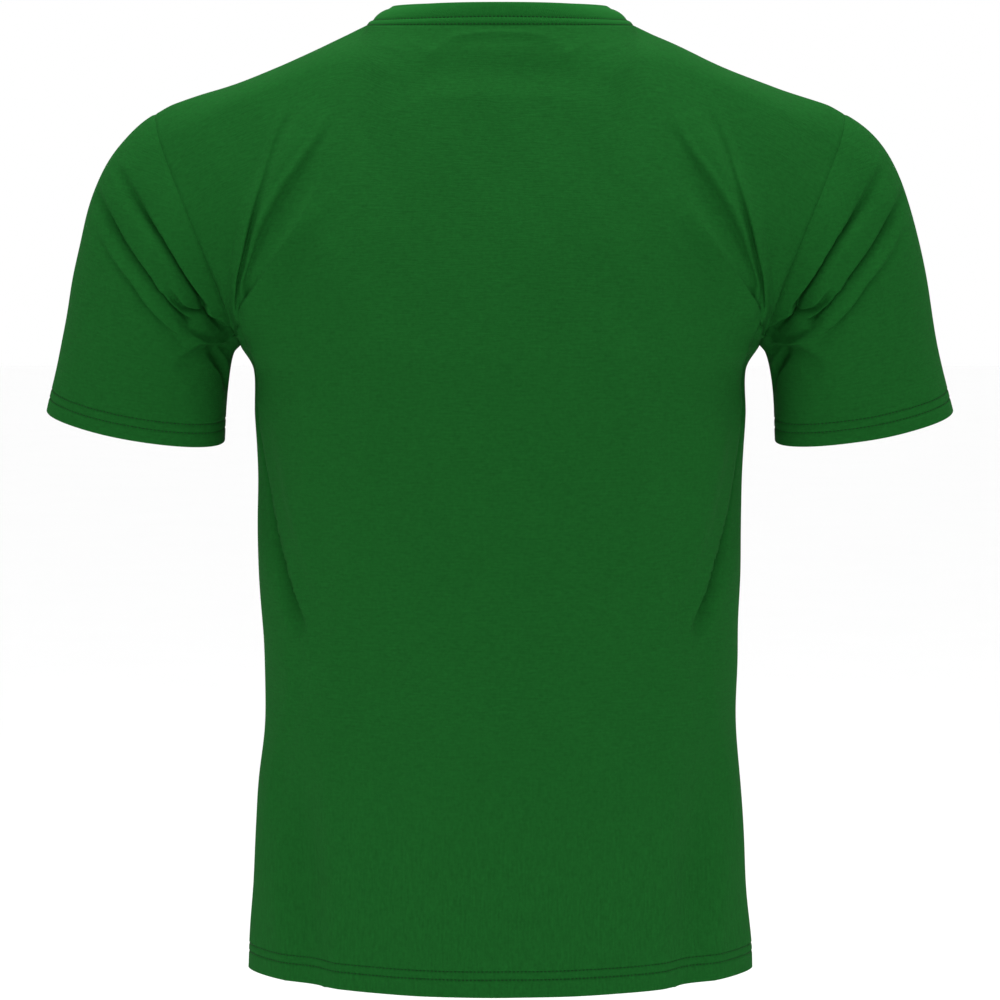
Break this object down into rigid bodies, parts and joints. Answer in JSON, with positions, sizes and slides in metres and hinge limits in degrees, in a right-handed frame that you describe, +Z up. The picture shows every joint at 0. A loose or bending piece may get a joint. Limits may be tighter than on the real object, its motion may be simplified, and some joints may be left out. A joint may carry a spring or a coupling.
{
  "type": "t-shirt",
  "caption": "Plain green crew-neck t-shirt with short set-in sleeves and a ribbed collar, filled out as when it is worn.",
  "frame": {"origin": "middle of the neck opening, level with the two points where the shoulder seams meet the collar", "axes": "+Z up; the front of the shirt faces -Y and its back +Y; +X towards the wearer's left"},
  "size_m": [0.67, 0.252, 0.7121],
  "materials": {
    "jersey": "matte single jersey knit",
    "rib": "matte 1x1 rib knit"
  },
  "bodies": {
    "root": {"back": "jersey", "front": "jersey", "sleeve_left": "jersey", "sleeve_right": "jersey", "neck_band": "rib"}
  },
  "joints": []
}
